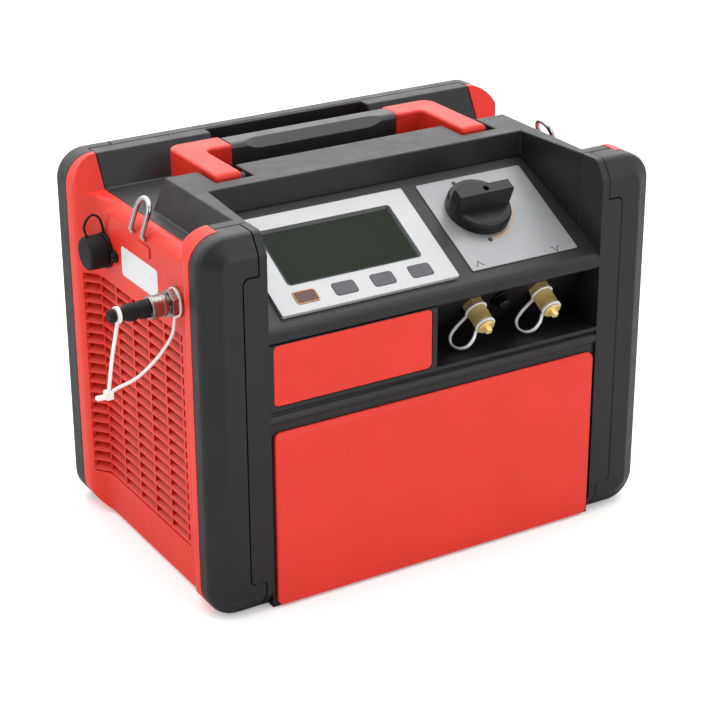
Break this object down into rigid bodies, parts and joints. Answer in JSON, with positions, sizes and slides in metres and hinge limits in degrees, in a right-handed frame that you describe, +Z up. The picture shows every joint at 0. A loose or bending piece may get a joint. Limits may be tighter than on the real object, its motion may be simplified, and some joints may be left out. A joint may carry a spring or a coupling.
{
  "type": "refrigerant recovery machine",
  "caption": "Portable refrigerant recovery machine with bumpered housing, louvred sides, sloping display console, selector knob, capped hose ports and folding handle.",
  "frame": {"origin": "on the underside at the middle of the housing", "axes": "+Z up, +X to the right seen from the front, the front faces -Y"},
  "size_m": [0.457, 0.2652, 0.3086],
  "materials": {
    "charcoal_plastic": "fine matt texture",
    "red_plastic": "satin",
    "silver_plate": "satin foil",
    "display_glass": "dark gloss",
    "key_brown": "matt",
    "key_grey": "matt",
    "black_plastic": "satin",
    "black_rubber": "matt",
    "brass": "machined",
    "nylon": "translucent white",
    "chromed_wire": "bright",
    "nickel_steel": "plated",
    "cast_aluminium": "as cast",
    "painted_steel": "satin"
  },
  "bodies": {
    "housing": {"base_tray": "charcoal_plastic", "front_frame": "charcoal_plastic", "front_bumper_left": "charcoal_plastic", "front_bumper_right": "charcoal_plastic", "rear_bumper_left": "charcoal_plastic", "rear_bumper_right": "charcoal_plastic", "rear_panel": "charcoal_plastic", "side_panel_left": "red_plastic", "side_panel_right": "red_plastic", "top_cover": "charcoal_plastic", "front_panel": "red_plastic", "badge_plate": "red_plastic", "display_bezel": "silver_plate", "display_window": "display_glass", "dial_plate": "silver_plate", "selector_valve": "brass", "manifold": "brass", "port_left": "brass", "port_right": "brass", "cap_strap_left": "nylon", "cap_strap_right": "nylon", "reset_switch": "black_plastic", "strap_hook_left": "chromed_wire", "strap_hook_right": "chromed_wire", "power_socket": "black_plastic", "socket_tether": "black_rubber", "coupler_body": "nickel_steel", "plug_strap": "nylon", "handle_pins": "nickel_steel", "pivot_bushes": "black_plastic", "compressor": "cast_aluminium", "motor": "painted_steel", "fan_shroud": "black_plastic", "condenser": "cast_aluminium"},
    "handle": {"handle_frame": "red_plastic", "handle_grip": "black_rubber"},
    "selector": {"selector_knob": "black_plastic", "selector_stem": "nickel_steel"},
    "key_1": {"key_1": "key_brown"},
    "key_2": {"key_2": "key_grey"},
    "key_3": {"key_3": "key_grey"},
    "key_4": {"key_4": "key_grey"},
    "reset": {"reset_button": "black_plastic"},
    "cap_left": {"port_cap_left": "brass"},
    "cap_right": {"port_cap_right": "brass"},
    "ring_left": {"cap_ring_left": "nylon"},
    "ring_right": {"cap_ring_right": "nylon"},
    "socket_cap": {"socket_cap": "black_rubber"},
    "sleeve": {"coupler_sleeve": "nickel_steel"},
    "plug": {"dust_plug": "black_rubber"},
    "fan": {"fan": "black_plastic"}
  },
  "joints": [
    {"name": "handle_fold", "type": "hinge", "parent": "housing", "child": "handle", "pos_m": [0, 0, 0.2978], "axis": [1, 0, 0], "range_deg": [0, 90]},
    {"name": "selector_turn", "type": "hinge", "parent": "housing", "child": "selector", "pos_m": [0.072, -0.07108, 0.26139], "axis": [0, -0.4695, 0.8829], "range_deg": [-100, 100]},
    {"name": "reset_press", "type": "slide", "parent": "housing", "child": "reset", "axis": [0, 0.848, 0.5299], "range_m": [0, 0.003], "stiffness_N_per_m": 400},
    {"name": "socket_cap_pull", "type": "slide", "parent": "housing", "child": "socket_cap", "axis": [-1, 0, 0], "range_m": [0, 0.014], "deforming": ["socket_tether"]},
    {"name": "sleeve_release", "type": "slide", "parent": "housing", "child": "sleeve", "axis": [1, 0, 0], "range_m": [0, 0.002], "stiffness_N_per_m": 600},
    {"name": "plug_pull", "type": "slide", "parent": "housing", "child": "plug", "axis": [-1, 0, 0], "range_m": [0, 0.014], "deforming": ["plug_strap"]},
    {"name": "fan_spin", "type": "hinge", "parent": "housing", "child": "fan", "pos_m": [0.131, 0, 0.084], "axis": [1, 0, 0], "continuous": true},
    {"name": "key_1_press", "type": "slide", "parent": "housing", "child": "key_1", "axis": [0, 0.4695, -0.8829], "range_m": [0, 0.0008], "stiffness_N_per_m": 400},
    {"name": "key_2_press", "type": "slide", "parent": "housing", "child": "key_2", "axis": [0, 0.4695, -0.8829], "range_m": [0, 0.0008], "stiffness_N_per_m": 400},
    {"name": "key_3_press", "type": "slide", "parent": "housing", "child": "key_3", "axis": [0, 0.4695, -0.8829], "range_m": [0, 0.0008], "stiffness_N_per_m": 400},
    {"name": "key_4_press", "type": "slide", "parent": "housing", "child": "key_4", "axis": [0, 0.4695, -0.8829], "range_m": [0, 0.0008], "stiffness_N_per_m": 400},
    {"name": "cap_left_travel", "type": "slide", "parent": "housing", "child": "ring_left", "axis": [0, -0.848, -0.5299], "range_m": [0, 0.00762], "deforming": ["cap_strap_left"]},
    {"name": "cap_left_unscrew", "type": "hinge", "parent": "ring_left", "child": "cap_left", "pos_m": [0.047, -0.104, 0.2], "axis": [0, -0.848, -0.5299], "range_deg": [0, 2160.5]},
    {"name": "cap_right_travel", "type": "slide", "parent": "housing", "child": "ring_right", "axis": [0, -0.848, -0.5299], "range_m": [0, 0.00762], "deforming": ["cap_strap_right"]},
    {"name": "cap_right_unscrew", "type": "hinge", "parent": "ring_right", "child": "cap_right", "pos_m": [0.11, -0.104, 0.2], "axis": [0, -0.848, -0.5299], "range_deg": [0, 2160.5]}
  ],
  "couplings": [
    {"joint": "cap_left_unscrew", "follows": "cap_left_travel", "rad_per_m": 4947.4},
    {"joint": "cap_right_unscrew", "follows": "cap_right_travel", "rad_per_m": 4947.4}
  ]
}
